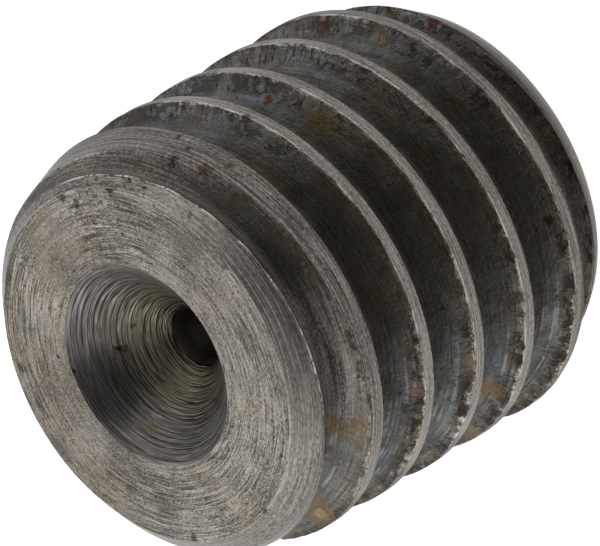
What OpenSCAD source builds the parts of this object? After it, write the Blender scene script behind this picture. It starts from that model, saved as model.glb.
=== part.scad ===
// Orifice restrictor screw: a short headless screw with a full-length right-hand thread, a
// hex socket in the lower end, and a metering orifice that opens into a countersunk cup in the
// upper end. Millimetres. The axis is +Z, and z = 0 is the socket end, on which it stands.

/* [Body] */
// Length from the socket end to the cup end
body_len = 6.1; // [5.5:0.05:12]

/* [Thread] */
// Diameter over the crests
thread_d = 5.97; // [5.8:0.01:6.4]
// Distance from one crest to the next along the axis
pitch = 1; // [0.7:0.05:1.25]
// Angle between the two flanks of the groove
flank_angle = 60; // [50:1:70]
// Width of the flat land left on each crest
crest_land = 0.18; // [0.1:0.01:0.3]
// Radius of the rounded bottom of the groove
root_r = 0.14; // [0.08:0.01:0.2]
// Turn about the axis at which the groove's middle meets the cup end's plane
groove_turn = 108; // [0:1:359]
// Turns over which the groove comes in to its full depth at the cup end
run_in_turns = 0.77; // [0.3:0.01:1.2]
// How far the groove's bottom is raised where it meets the cup end's plane
run_in_lift = 0.3; // [0.05:0.01:0.35]

/* [Cup end] */
// Diameter of the flat face round the cup
cup_face_d = 4.95; // [4.2:0.05:5.2]
// Length of the 45 degree chamfer beside that face
cup_chamfer_len = 0.28; // [0.1:0.01:0.35]
// Length of the slow taper from that chamfer to the full crests
cup_taper_len = 0.75; // [0.3:0.05:1.2]
// Diameter of the cup's mouth
cup_d = 2.8; // [2:0.05:3.6]
// Angle of the cup, from wall to wall
cup_angle = 90; // [75:1:118]

/* [Orifice] */
// Diameter of the metering hole
orifice_d = 0.8; // [0.4:0.05:1.2]

/* [Socket end] */
// Diameter of the flat face round the socket
socket_face_d = 5; // [4.4:0.05:5.2]
// Angle of the socket end's chamfer against the axis
socket_chamfer_angle = 30; // [20:1:45]
// Width of the hex socket across its flats
socket_af = 3; // [2:0.05:3.2]
// Depth of the socket's flat walls
socket_depth = 2.5; // [1.5:0.05:2.8]
// Diameter of the chamfer in the socket's mouth
socket_mouth_d = 3.75; // [3.75:0.05:4.2]
// Angle of the drill point below the socket, from wall to wall
drill_angle = 120; // [110:1:130]

/* [Hidden] */
$fn = 96;

// How far a cutter runs on past the surface that it cuts
past = 0.5;

// Groove section: flanks closing on a sharp point, with an arc that rounds the point off
crest_r = thread_d / 2;
half_flank = flank_angle / 2;
groove_half_w = (pitch - crest_land) / 2;
sharp_depth = groove_half_w / tan(half_flank);
arc_centre_depth = sharp_depth - root_r / sin(half_flank);
arc_steps = 3;

// Sweep of that section down the helix
steps_per_turn = 40;
turns_above = 0.5;
turns_below = 0.5;
turns = turns_above + body_len / pitch + turns_below;
sweep_steps = ceil(turns * steps_per_turn);

// The flanks run on this far past the crests, so that the straight facets clear them midway too
flank_past = 2 * crest_r * (1 - cos(180 / steps_per_turn));
past_half_w = groove_half_w + flank_past * tan(half_flank);

socket_corner_d = socket_af / cos(30);
socket_chamfer_len = (crest_r - socket_face_d / 2) / tan(socket_chamfer_angle);

// Half of the section as [axial offset, depth below the crests], from the bottom of the groove
// out along one flank, just past the crests, and straight on from there
function half_section() = concat(
    [for (i = [0 : arc_steps])
        let (a = (90 - half_flank) * i / arc_steps)
        [root_r * sin(a), arc_centre_depth + root_r * cos(a)]],
    [[past_half_w, -flank_past], [past_half_w, -past]]
);

// The whole closed section: up one flank, then down the other one
function groove_section() =
    let (half = half_section(), n = len(half))
    concat(
        [for (i = [n - 1 : -1 : 1]) [-half[i].x, half[i].y]],
        half
    );

// How far the groove's bottom is raised, so many turns below the cup end's plane
function lift(turn) = max(0, run_in_lift * (1 - turn / run_in_turns));

// One section in its place. It is raised along its upper flank, which therefore stays where it
// is: only the lower flank and the bottom of the groove move
function section_at(turn) =
    let (
        a = groove_turn - 360 * turn,
        z = body_len - pitch * turn + lift(turn) * tan(half_flank)
    )
    [for (p = groove_section())
        let (r = crest_r - p.y + lift(turn))
        [r * cos(a), r * sin(a), z + p.x]];

// Cutter for the groove: the sections joined by two triangles from point to point, and capped
module groove_cutter() {
    m = len(groove_section());
    points = [for (s = [0 : sweep_steps])
        each section_at(s * turns / sweep_steps - turns_above)];
    sides = [for (s = [0 : sweep_steps - 1], i = [0 : m - 1])
        let (
            j = (i + 1) % m,
            a = s * m + i,
            b = s * m + j,
            c = a + m,
            d = b + m
        )
        each [[a, b, c], [b, d, c]]];
    end = sweep_steps * m;
    caps = [for (i = [1 : m - 2])
        each [[0, i + 1, i], [end, end + i, end + i + 1]]];
    polyhedron(points = points, faces = concat(caps, sides));
}

// The turned blank: chamfered at both ends, with a slow taper behind the cup end's chamfer
module blank() {
    rotate_extrude()
        polygon([
            [0, 0],
            [socket_face_d / 2, 0],
            [crest_r, socket_chamfer_len],
            [crest_r, body_len - cup_chamfer_len - cup_taper_len],
            [cup_face_d / 2 + cup_chamfer_len, body_len - cup_chamfer_len],
            [cup_face_d / 2, body_len],
            [0, body_len]
        ]);
}

// Cup, drilled to its angle from the upper end
module cup() {
    depth = cup_d / 2 / tan(cup_angle / 2);
    rise = past / tan(cup_angle / 2);
    translate([0, 0, body_len - depth])
        cylinder(h = depth + rise, r1 = 0, r2 = cup_d / 2 + past);
}

// Hex socket with the drill point below it and the chamfer in its mouth
module socket() {
    point_len = socket_af / 2 / tan(drill_angle / 2);
    mouth_len = (socket_mouth_d - socket_af) / 2;
    translate([0, 0, -past])
        cylinder(h = socket_depth + past, d = socket_corner_d, $fn = 6);
    translate([0, 0, socket_depth])
        cylinder(h = point_len, r1 = socket_af / 2, r2 = 0);
    translate([0, 0, -past])
        cylinder(h = mouth_len + past, r1 = socket_mouth_d / 2 + past, r2 = socket_af / 2);
}

// Metering hole right through, from the socket into the cup
module orifice() {
    cylinder(h = body_len, d = orifice_d);
}

module restrictor_body() {
    color("#8d8a85")
        difference() {
            blank();
            groove_cutter();
            cup();
            socket();
            orifice();
        }
}

restrictor_body();
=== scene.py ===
"""Dresses the orifice restrictor screw: its worn steel skin, a plain studio and the camera.

The screw stands on its socket end with its axis along +Z. Sizes in the classes are in
millimetres and angles in degrees; meshes are written in metres.
"""

import logging
import math
from dataclasses import dataclass, field
from enum import Enum
from functools import cached_property

import bpy
import numpy as np
from mathutils import Matrix, Vector


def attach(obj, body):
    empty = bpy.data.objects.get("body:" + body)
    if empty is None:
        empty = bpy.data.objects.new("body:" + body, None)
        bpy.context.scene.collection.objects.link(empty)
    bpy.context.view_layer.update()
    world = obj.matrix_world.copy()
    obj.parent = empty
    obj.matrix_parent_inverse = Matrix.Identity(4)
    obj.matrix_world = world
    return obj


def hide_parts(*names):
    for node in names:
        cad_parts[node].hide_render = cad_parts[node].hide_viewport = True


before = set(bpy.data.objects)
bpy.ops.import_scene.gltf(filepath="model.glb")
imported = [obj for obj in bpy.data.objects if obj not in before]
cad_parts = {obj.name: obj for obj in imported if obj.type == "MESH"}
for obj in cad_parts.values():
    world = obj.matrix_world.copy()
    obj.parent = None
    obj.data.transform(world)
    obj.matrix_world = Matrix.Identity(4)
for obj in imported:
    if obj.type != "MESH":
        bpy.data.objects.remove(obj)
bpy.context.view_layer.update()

MM = 0.001
BODY = "root"
NODE = "restrictor_body"
log = logging.getLogger("restrictor_screw")


class Zone(Enum):
    """The screw's skin, zone by zone, in the order of the mesh's material slots."""

    THREAD = 0
    FACE = 1
    CUP = 2
    SOCKET = 3


def smooth_noise(x: np.ndarray, step: float, seed: int) -> np.ndarray:
    """Random values on a line at even steps, joined by smooth curves.

    Args:
        x: Places along the line, of any sign.
        step: Distance between two random values.
        seed: Which line of random values.

    Returns:
        Noise from -1 to 1, shaped like x.
    """
    count = 4096
    table = np.random.default_rng(seed).uniform(-1.0, 1.0, count)
    place = x / step
    left = np.floor(place).astype(int)
    part = place - left
    ease = part * part * (3.0 - 2.0 * part)
    return table[left % count] * (1.0 - ease) + table[(left + 1) % count] * ease


def soft_min(a: np.ndarray, b: np.ndarray, width: float) -> np.ndarray:
    """The lower of two surfaces, with the corner where they cross rounded off.

    Args:
        a: One surface's heights.
        b: The other's.
        width: Difference in height below which the two are blended.

    Returns:
        The blended heights, never above either surface.
    """
    share = np.clip(0.5 + 0.5 * (b - a) / width, 0.0, 1.0)
    return b + (a - b) * share - width * share * (1.0 - share)


@dataclass(frozen=True)
class Blank:
    """The turned blank that the thread is cut in."""

    length: float = 6.1
    crest_r: float = 2.985
    cup_face_r: float = 2.475
    cup_chamfer: float = 0.28
    cup_taper: float = 0.75
    socket_face_r: float = 2.5
    socket_chamfer_angle: float = 30.0

    def radius(self, z: np.ndarray) -> np.ndarray:
        """The blank's outline: two chamfers, the slow taper, and the full radius between them.

        Args:
            z: Heights.

        Returns:
            The radius at each height.
        """
        rise = (self.crest_r - self.socket_face_r) / math.tan(math.radians(self.socket_chamfer_angle))
        chamfer_z = self.length - self.cup_chamfer
        chamfer_r = self.cup_face_r + self.cup_chamfer
        heights = [0.0, rise, chamfer_z - self.cup_taper, chamfer_z, self.length]
        radii = [self.socket_face_r, self.crest_r, self.crest_r, chamfer_r, self.cup_face_r]
        return np.interp(z, heights, radii)


@dataclass(frozen=True)
class Thread:
    """The helical groove, with the run-in that leaves the first crest wide."""

    blank: Blank
    pitch: float = 1.0
    flank: float = 30.0
    land: float = 0.18
    root_r: float = 0.14
    start: float = 108.0
    run_in_turns: float = 0.77
    run_in_lift: float = 0.3
    edge_round: float = 0.016
    edge_row: float = 0.014
    ragged: float = 0.016
    nick: float = 0.03
    wear_reach: float = 0.05
    deepest_land: float = 0.3

    @property
    def half_width(self) -> float:
        """Half of the groove's width at the crests."""
        return (self.pitch - self.land) / 2

    def turns(self, angle: np.ndarray, groove: np.ndarray) -> np.ndarray:
        """How many turns below the cup end a groove's middle is, at an angle about the axis."""
        return (self.start - angle) / 360.0 + groove

    def wear(self, angle: np.ndarray) -> np.ndarray:
        """How hard the edges are worn at an angle: most on the -X side, least on the +X side."""
        return 1.2 - 0.7 * np.cos(np.radians(angle))

    def lower_edge(self, turn: np.ndarray) -> np.ndarray:
        """The groove's lower edge from its middle: fixed, less the run-in.

        Args:
            turn: Turns below the cup end.

        Returns:
            Offset along the axis from the full groove's middle, negative downwards.
        """
        lift = np.maximum(0.0, self.run_in_lift * (1.0 - turn / self.run_in_turns))
        return -self.half_width + 2.0 * lift * math.tan(math.radians(self.flank))

    def torn(self, turn: np.ndarray) -> np.ndarray:
        """How far up or down wear has moved the lower edge, so many turns down."""
        noise = 0.6 * smooth_noise(turn, 0.021, 3) + 0.5 * smooth_noise(turn, 0.006, 4)
        return self.ragged * self.wear(self.start - 360.0 * turn) * noise

    def middle(self, turn: np.ndarray) -> np.ndarray:
        """Height of the full groove's middle, so many turns down."""
        return self.blank.length - self.pitch * turn

    def depth(self, turn: np.ndarray, offset: np.ndarray) -> np.ndarray:
        """How deep below the crests the groove is, at an offset from its middle.

        Each flank falls by its distance from its own edge over the tangent of the flank's angle,
        and a circle of the root's radius, tangent to both flanks, rounds the bottom off. Where the
        lower edge is torn, the flank bends to meet it within about a tenth of a millimetre.

        Args:
            turn: Turns below the cup end.
            offset: Distance from the full groove's middle along the axis, positive upwards.

        Returns:
            The depth, negative past the groove's edges.
        """
        slope = math.tan(math.radians(self.flank))
        low, high = self.lower_edge(turn), self.half_width
        from_mid = offset - (low + high) / 2
        sharp = (high - low) / 2 / slope
        arc_centre = sharp - self.root_r / math.sin(math.radians(self.flank))
        arc = arc_centre + np.sqrt(np.maximum(self.root_r**2 - from_mid**2, 0.0))
        torn = self.torn(turn) * np.exp(-np.maximum(offset - low, 0.0) / self.wear_reach)
        flanks = np.minimum(offset - low - torn, high - offset) / slope
        in_arc = np.abs(from_mid) < self.root_r * math.cos(math.radians(self.flank))
        return np.where(in_arc, np.minimum(arc, flanks), flanks)

    def radius(self, angle: np.ndarray, z: np.ndarray) -> tuple[np.ndarray, np.ndarray]:
        """The threaded outline: the lower of the blank and of every turn of the groove.

        Args:
            angle: Angle about the axis, in degrees.
            z: Height.

        Returns:
            The radius, and how far below the blank the groove lies there, negative on a land.
        """
        blank = self.blank.radius(z)
        groove = np.full_like(blank, 9.0)
        count = int(self.blank.length / self.pitch) + 3
        for k in range(-1, count):
            turn = self.turns(angle, k)
            offset = z - self.middle(turn)
            near = self.blank.crest_r - self.depth(turn, offset)
            beside = (offset - self.lower_edge(turn) - self.torn(turn)) / self.wear_reach
            tear = np.clip(smooth_noise(turn, 0.0085, 7) * 1.8 - 0.75, 0.0, 1.0)
            near = near - self.nick * self.wear(angle) * tear * np.exp(-beside * beside)
            groove = np.minimum(groove, near)
        sunk = np.maximum(blank - groove, -self.deepest_land)
        return soft_min(blank, groove, self.edge_round), sunk

    def row_offsets(self, turn: np.ndarray) -> np.ndarray:
        """Where the mesh's rows cross one pitch, from the land below a groove to the land above.

        Rows stand closest at the two crest edges and round the root, and the lower ones follow
        the groove's own lower edge.

        Args:
            turn: Turns below the cup end.

        Returns:
            Offsets from the groove's middle, one row each, in an array of rows by turns.
        """
        high = np.full_like(turn, self.half_width)
        bottom = np.full_like(turn, -self.pitch / 2)
        mid = (self.lower_edge(turn) + high) / 2
        low = self.lower_edge(turn) + self.torn(turn)
        arc, near = self.root_r * math.cos(math.radians(self.flank)), self.edge_row
        rows = [bottom + (low - near - bottom) * s for s in (0.0, 0.34, 0.68, 1.0)]
        rows += [low, low + near]
        rows += [low + near + (mid - arc - low - near) * s for s in (0.2, 0.4, 0.6, 0.8)]
        rows += [mid + arc * s for s in (-1.0, -0.5, 0.0, 0.5, 1.0)]
        rows += [mid + arc + (high - near - mid - arc) * s for s in (0.25, 0.5, 0.75)]
        rows += [high - near, high, high + near, (high + near + self.pitch / 2) / 2]
        return np.stack(rows)


@dataclass(frozen=True)
class Cup:
    """The countersunk cup and the metering hole in its bottom."""

    mouth_r: float = 1.4
    half_angle: float = 45.0
    orifice_r: float = 0.4
    mouth_bevel: float = 0.015
    lip_bevel: float = 0.02

    def profile(self, top: float, drill_z: float) -> np.ndarray:
        """The line from the cup's mouth down its cone and through the hole.

        Args:
            top: Height of the face round the cup.
            drill_z: Height at which the hole meets the socket's drill point.

        Returns:
            Points as [radius, height].
        """
        slope, bevel, steps = math.tan(math.radians(self.half_angle)), self.lip_bevel, 8
        radii = np.linspace(self.mouth_r - self.mouth_bevel, self.orifice_r + bevel, 13)
        cone = np.stack([radii, top - (self.mouth_r - radii) / slope], 1)
        lip_z = top - (self.mouth_r - self.orifice_r) / slope
        heights = np.linspace(lip_z - bevel, drill_z + bevel, steps)
        hole = np.stack([np.full(steps, self.orifice_r), heights], 1)
        return np.concatenate([cone, hole])


@dataclass(frozen=True)
class Socket:
    """The hex socket with its chamfered mouth and the drill point below it."""

    across_flats: float = 3.0
    depth: float = 2.5
    mouth_r: float = 1.875
    drill_half_angle: float = 60.0
    corner_round: float = 0.04
    floor_bevel: float = 0.02
    mouth_bevel: float = 0.01

    def wall(self, angle: np.ndarray) -> np.ndarray:
        """Distance from the axis to the hexagon's wall, with its corners rounded off.

        It is half the flats over the cosine of the angle from the nearest flat's middle.

        Args:
            angle: Angles about the axis.

        Returns:
            The distance at each angle.
        """
        from_flat = np.radians((angle % 60.0) - 30.0)
        sharp = self.across_flats / 2 / np.cos(from_flat)
        corner = self.across_flats / 2 / math.cos(math.radians(30.0))
        return soft_min(sharp, np.full_like(sharp, corner - self.corner_round * 0.3), self.corner_round)

    def drill_top(self, orifice_r: float) -> float:
        """Height at which the drill point's cone comes down to the metering hole."""
        slope = math.tan(math.radians(self.drill_half_angle))
        return self.depth + (self.across_flats / 2 - orifice_r) / slope


@dataclass
class RestrictorBody:
    """The whole screw as one closed skin: a grid of columns round the axis and of rows along it."""

    blank: Blank = field(default_factory=Blank)
    cup: Cup = field(default_factory=Cup)
    socket: Socket = field(default_factory=Socket)
    columns: int = 432
    rim_bevel: float = 0.018
    sharp_angle: float = 38.0

    def __post_init__(self) -> None:
        """Sets the thread on the blank, and the columns' angles."""
        self.thread = Thread(self.blank)
        self.angles = np.arange(self.columns + 1) * 360.0 / self.columns

    def threaded_rows(self) -> dict[str, np.ndarray]:
        """The threaded outside below the cup end's chamfer.

        Every row climbs by one pitch a turn, so it runs along the crests: at the grid's last
        column it has become the row one pattern further up. Rows are cut off at the skin's top
        and bottom, where a column's spare rows share one vertex.

        Returns:
            The vertices, the triangles, and the corner values of the helix map.
        """
        thread, n = self.thread, self.columns
        z_low, z_high = self.rim_bevel, self.blank.length - self.blank.cup_chamfer
        grooves = np.arange(int(self.blank.length / thread.pitch) + 2, -2, -1)
        angle = self.angles[None, None, :]
        turn = thread.turns(angle, grooves[:, None, None])
        offset = thread.row_offsets(turn[:, 0, :]).transpose(1, 0, 2)
        free = thread.middle(turn) + offset
        pattern = free.shape[1]
        free = free.reshape(-1, n + 1)
        offset = offset.reshape(-1, n + 1)
        turn = np.repeat(turn, pattern, 1).reshape(-1, n + 1)
        count = free.shape[0]

        lowest = (free <= z_low).sum(0) - 1
        highest = count - (free >= z_high).sum(0)
        z = np.clip(free, z_low, z_high)
        angle = np.broadcast_to(self.angles, z.shape)
        r, sunk = thread.radius(angle, z)

        row = np.arange(count)[:, None] + np.zeros(n + 1, int)
        column = np.arange(n + 1)[None, :] + np.zeros((count, 1), int)
        row[:, n] += pattern
        column[:, n] = 0
        lowest[n], highest[n] = lowest[0], highest[0]
        kept = np.clip(row, lowest, highest)
        ids = kept * n + column

        upper = offset[1:].copy()
        upper[pattern - 1 :: pattern] = thread.pitch / 2
        corners = [
            (ids[:-1, :-1], turn[:-1, :-1], offset[:-1, :-1]),
            (ids[:-1, 1:], turn[:-1, 1:], offset[:-1, 1:]),
            (ids[1:, 1:], turn[:-1, 1:], upper[:, 1:]),
            (ids[1:, :-1], turn[:-1, :-1], upper[:, :-1]),
        ]
        quads = np.stack([c[0] for c in corners], -1).reshape(-1, 4)
        uv = np.stack([np.stack(c[1:], -1) for c in corners], -2).reshape(-1, 4, 2)
        return {
            "r": r[:, :n],
            "z": z[:, :n],
            "sunk": sunk[:, :n],
            "quads": quads,
            "uv": uv,
            "top": ids[-1, :n],
            "bottom": ids[0, :n],
        }

    def rings(self) -> tuple[np.ndarray, np.ndarray, np.ndarray, list[Zone]]:
        """The rings from the cup end's chamfer to the outer edge of the socket end.

        They go over the face, down the cup, and through the hole and the socket.

        Returns:
            Radii and heights in arrays of rings by columns, the depth of the groove at each, and
            the zone of the step that ends at each ring.
        """
        around = self.angles[:-1]
        ones = np.ones_like(around)
        top, rim = self.blank.length, self.blank.cup_face_r
        radii, heights, sunk, zones = [], [], [], []

        def add(r: np.ndarray, z: np.ndarray, zone: Zone, deep: np.ndarray | None = None) -> None:
            """Appends one ring."""
            radii.append(r * ones)
            heights.append(z * ones)
            sunk.append(0.0 * ones if deep is None else deep)
            zones.append(zone)

        bevel = self.rim_bevel
        for z in np.linspace(top - self.blank.cup_chamfer, top - bevel, 11)[1:]:
            r, deep = self.thread.radius(around, z * ones)
            add(r, z, Zone.THREAD, deep)
        add(rim + 0.25 * bevel, top - 0.3 * bevel, Zone.FACE)
        for r in np.linspace(rim - 0.3 * bevel, self.cup.mouth_r + 0.01, 9):
            add(r, top, Zone.FACE)

        drill = self.socket.drill_top(self.cup.orifice_r)
        for r, z in self.cup.profile(top, drill):
            add(r, z, Zone.CUP)

        wall, flat = self.socket.wall(around), self.socket.across_flats / 2
        depth, mouth = self.socket.depth, self.socket.mouth_r
        low, edge = self.socket.floor_bevel, self.socket.mouth_bevel
        slope = math.tan(math.radians(self.socket.drill_half_angle))
        for r in np.linspace(self.cup.orifice_r + self.cup.lip_bevel, flat, 6):
            add(r, depth + (flat - r) / slope, Zone.SOCKET)
        add(np.maximum(wall - low, flat), depth, Zone.SOCKET)
        lip = mouth - wall + edge
        for s in np.linspace(0.0, 1.0, 9):
            add(wall, depth - low + (lip - depth + low) * s, Zone.SOCKET)
        add(wall + edge, mouth - wall - edge, Zone.SOCKET)
        add(mouth - edge, edge, Zone.SOCKET)
        for r in np.linspace(mouth + edge, self.blank.socket_face_r - bevel, 6):
            add(r, 0.0, Zone.SOCKET)
        return np.array(radii), np.array(heights), np.array(sunk), zones

    def build(self) -> bpy.types.Object:
        """Makes the skin's mesh.

        Returns:
            The object, with its map and its attributes, and no material yet.
        """
        n = self.columns
        outside = self.threaded_rows()
        radii, heights, sunk, zones = self.rings()
        base = outside["r"].size
        ring_ids = base + np.arange(radii.size).reshape(radii.shape)
        chain = np.concatenate([outside["top"][None], ring_ids, outside["bottom"][None]])
        chain = np.concatenate([chain, chain[:, :1]], 1)
        quads = np.stack([chain[:-1, :-1], chain[:-1, 1:], chain[1:, 1:], chain[1:, :-1]], -1)
        quads = quads.reshape(-1, 4)

        steps = np.hypot(np.diff(radii, axis=0), np.diff(heights, axis=0)).mean(1)
        join = 0.03
        along = np.concatenate([[0.0, join], join + np.cumsum(steps)])
        along = np.append(along, along[-1] + join)
        u, v = np.meshgrid(self.angles / 360.0, along)
        uv = np.stack([u, v], -1)
        uv = np.stack([uv[:-1, :-1], uv[:-1, 1:], uv[1:, 1:], uv[1:, :-1]], -2).reshape(-1, 4, 2)

        zone = np.repeat([z.value for z in zones] + [Zone.SOCKET.value], n)
        zone = np.concatenate([np.zeros(len(outside["quads"]), int), zone])
        quads = np.concatenate([outside["quads"], quads])
        uv = np.concatenate([outside["uv"], uv])

        triangles = np.concatenate([quads[:, [0, 1, 2]], quads[:, [0, 2, 3]]])
        tri_uv = np.concatenate([uv[:, [0, 1, 2]], uv[:, [0, 2, 3]]])
        zone = np.concatenate([zone, zone])
        a, b, c = triangles.T
        whole = (a != b) & (b != c) & (c != a)
        triangles, tri_uv, zone = triangles[whole], tri_uv[whole], zone[whole]

        r = np.concatenate([outside["r"].ravel(), radii.ravel()])
        z = np.concatenate([outside["z"].ravel(), heights.ravel()])
        deep = np.concatenate([outside["sunk"].ravel(), sunk.ravel()])
        turn = np.radians(np.tile(self.angles[:-1], len(r) // n))
        points = np.stack([r * np.cos(turn), r * np.sin(turn), z], 1) * MM
        used, triangles = np.unique(triangles, return_inverse=True)
        return self.write(points[used], triangles.reshape(-1, 3), tri_uv, zone, deep[used])

    def write(
        self,
        points: np.ndarray,
        triangles: np.ndarray,
        uv: np.ndarray,
        zone: np.ndarray,
        sunk: np.ndarray,
    ) -> bpy.types.Object:
        """Puts the arrays into a mesh.

        Args:
            points: Vertices in metres.
            triangles: Three vertex numbers each.
            uv: The map at each triangle's corners.
            zone: Material slot of each triangle.
            sunk: How far below the blank each vertex lies.

        Returns:
            The linked object.
        """
        mesh = bpy.data.meshes.new("restrictor_skin")
        mesh.vertices.add(len(points))
        mesh.vertices.foreach_set("co", points.astype(np.float32).ravel())
        mesh.loops.add(triangles.size)
        mesh.loops.foreach_set("vertex_index", triangles.astype(np.int32).ravel())
        mesh.polygons.add(len(triangles))
        mesh.polygons.foreach_set("loop_start", np.arange(0, triangles.size, 3, dtype=np.int32))
        mesh.polygons.foreach_set("material_index", zone.astype(np.int32))
        mesh.polygons.foreach_set("use_smooth", np.ones(len(triangles), bool))
        mesh.update(calc_edges=True)
        mesh.uv_layers.new(name="lathe_map").data.foreach_set("uv", uv.astype(np.float32).ravel())
        mesh.attributes.new("sunk", "FLOAT", "POINT").data.foreach_set("value", sunk.astype(np.float32))
        mesh.set_sharp_from_angle(angle=math.radians(self.sharp_angle))
        mesh.validate()
        piece = bpy.data.objects.new("restrictor_skin", mesh)
        bpy.context.scene.collection.objects.link(piece)
        return piece


Wire = bpy.types.NodeSocket
Value = float | Wire
Point = tuple[float, float, float]
Colour = tuple[float, float, float, float]


def tint(red: int, green: int, blue: int) -> Colour:
    """A colour given as it looks, 0 to 255, as the linear one that a shader wants."""
    shares = [c / 255.0 for c in (red, green, blue)]
    r, g, b = (c / 12.92 if c < 0.04045 else ((c + 0.055) / 1.055) ** 2.4 for c in shares)
    return (r, g, b, 1.0)


class Graph:
    """A node tree with short ways to add what the finishes need."""

    def __init__(self, tree: bpy.types.NodeTree) -> None:
        """Keeps the tree."""
        self.tree = tree

    def put(self, socket: Wire, value: object) -> None:
        """Links a socket to another, or writes a plain value on it."""
        if isinstance(value, Wire):
            self.tree.links.new(value, socket)
        elif value is not None:
            socket.default_value = value

    def node(self, kind: str, **settings: object) -> bpy.types.Node:
        """Adds a node and sets its properties.

        Args:
            kind: Blender's name for the node.
            settings: The properties by name.

        Returns:
            The node.
        """
        made = self.tree.nodes.new(kind)
        for name, value in settings.items():
            setattr(made, name, value)
        return made

    def math(self, operation: str, a: Value, b: Value = 0.0, clamp: bool = False) -> Wire:
        """One step of arithmetic.

        Args:
            operation: Blender's name for it.
            a: First value.
            b: Second value.
            clamp: Whether the result is kept from 0 to 1.

        Returns:
            The result.
        """
        made = self.node("ShaderNodeMath", operation=operation, use_clamp=clamp)
        self.put(made.inputs[0], a)
        self.put(made.inputs[1], b)
        return made.outputs[0]

    def row(self, operation: str, parts: tuple[Value, ...]) -> Wire:
        """The same step of arithmetic along a row of values.

        Args:
            operation: Blender's name for it.
            parts: The values.

        Returns:
            The result.
        """
        result = parts[0]
        for part in parts[1:]:
            result = self.math(operation, result, part)
        return result

    def product(self, *parts: Value) -> Wire:
        """All the values multiplied."""
        return self.row("MULTIPLY", parts)

    def total(self, *parts: Value) -> Wire:
        """All the values added up."""
        return self.row("ADD", parts)

    def most(self, *parts: Value) -> Wire:
        """The highest of the values."""
        return self.row("MAXIMUM", parts)

    def scaled(self, value: Value, factor: Value, more: Value = 0.0) -> Wire:
        """A value times a factor, plus something more.

        Args:
            value: The value.
            factor: What it is multiplied by.
            more: What is added.

        Returns:
            The result.
        """
        made = self.node("ShaderNodeMath", operation="MULTIPLY_ADD")
        for socket, part in zip(made.inputs, (value, factor, more)):
            self.put(socket, part)
        return made.outputs[0]

    def ramp(
        self, value: Value, low: Value, high: Value, start: Value = 0.0, end: Value = 1.0
    ) -> Wire:
        """A smooth climb from start to end while the value goes from low to high.

        Args:
            value: The value.
            low: Where the climb starts; it may be the higher of the two.
            high: Where the climb ends.
            start: The result before the climb.
            end: The result after it.

        Returns:
            The result.
        """
        made = self.node("ShaderNodeMapRange", interpolation_type="SMOOTHSTEP")
        names = ("Value", "From Min", "From Max", "To Min", "To Max")
        for name, part in zip(names, (value, low, high, start, end)):
            self.put(made.inputs[name], part)
        return made.outputs[0]

    def vector(self, x: Value, y: Value, z: Value = 0.0) -> Wire:
        """Three values as one vector.

        Args:
            x: First value.
            y: Second value.
            z: Third value.

        Returns:
            The vector.
        """
        made = self.node("ShaderNodeCombineXYZ")
        for socket, part in zip(made.inputs, (x, y, z)):
            self.put(socket, part)
        return made.outputs[0]

    def parts(self, vector: Wire) -> tuple[Wire, ...]:
        """One vector as three values."""
        made = self.node("ShaderNodeSeparateXYZ")
        self.put(made.inputs[0], vector)
        return tuple(made.outputs)

    def combine(
        self, operation: str, a: object, b: object = None, scale: float | None = None
    ) -> bpy.types.Node:
        """One step of vector arithmetic, as its node.

        Args:
            operation: Blender's name for it.
            a: First vector.
            b: Second vector, if it takes two.
            scale: The factor, if it takes one.

        Returns:
            The node, whose outputs are a vector and a value.
        """
        made = self.node("ShaderNodeVectorMath", operation=operation)
        self.put(made.inputs[0], a)
        self.put(made.inputs[1], b)
        if scale is not None:
            self.put(made.inputs["Scale"], scale)
        return made

    def stretched(self, way: Wire, across: float, along: float) -> Wire:
        """A way scaled by one factor across its lines and by another along them."""
        return self.combine("MULTIPLY", way, (across, along, along)).outputs[0]

    def noise(
        self, place: Wire, scale: Value = 1.0, detail: float = 2.0, rough: float = 0.5, warp: float = 0.0
    ) -> Wire:
        """Cloudy noise from about 0.25 to 0.75.

        Args:
            place: Where the noise is read.
            scale: How many patches to a millimetre, about.
            detail: Octaves of the noise.
            rough: How strong the finer octaves are.
            warp: How far the place is bent by noise first.

        Returns:
            The noise.
        """
        made = self.node("ShaderNodeTexNoise")
        names = ("Vector", "Scale", "Detail", "Roughness", "Distortion")
        for name, part in zip(names, (place, scale, detail, rough, warp)):
            self.put(made.inputs[name], part)
        return made.outputs[0]

    def clouds(
        self,
        place: Wire,
        low: float,
        high: float,
        scale: float = 1.0,
        detail: float = 2.0,
        rough: float = 0.5,
        most: float = 1.0,
    ) -> Wire:
        """Patches of noise.

        Args:
            place: Where the noise is read.
            low: Noise below which there is no patch.
            high: Noise above which the patch is whole.
            scale: How many patches to a millimetre, about.
            detail: Octaves of the noise.
            rough: How strong the finer octaves are.
            most: The value of a whole patch.

        Returns:
            The patches, from 0 to the most.
        """
        return self.ramp(self.noise(place, scale, detail, rough), low, high, 0.0, most)

    def cells(self, place: Wire, scale: Value) -> Wire:
        """Distance to the nearest of scattered points.

        Args:
            place: Where the distance is read.
            scale: How many points to a millimetre, about.

        Returns:
            The distance.
        """
        made = self.node("ShaderNodeTexVoronoi")
        self.put(made.inputs["Vector"], place)
        self.put(made.inputs["Scale"], scale)
        return made.outputs["Distance"]

    def mix(self, share: Value, a: object, b: object, blend: str = "MIX") -> Wire:
        """Colour a turned into colour b by a share.

        Args:
            share: How far, from 0 to 1.
            a: First colour.
            b: Second colour.
            blend: Blender's name for the way of mixing.

        Returns:
            The mixed colour.
        """
        made = self.node("ShaderNodeMix", data_type="RGBA", blend_type=blend)
        self.put(made.inputs[0], share)
        self.put(made.inputs[6], a)
        self.put(made.inputs[7], b)
        return made.outputs[2]

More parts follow.
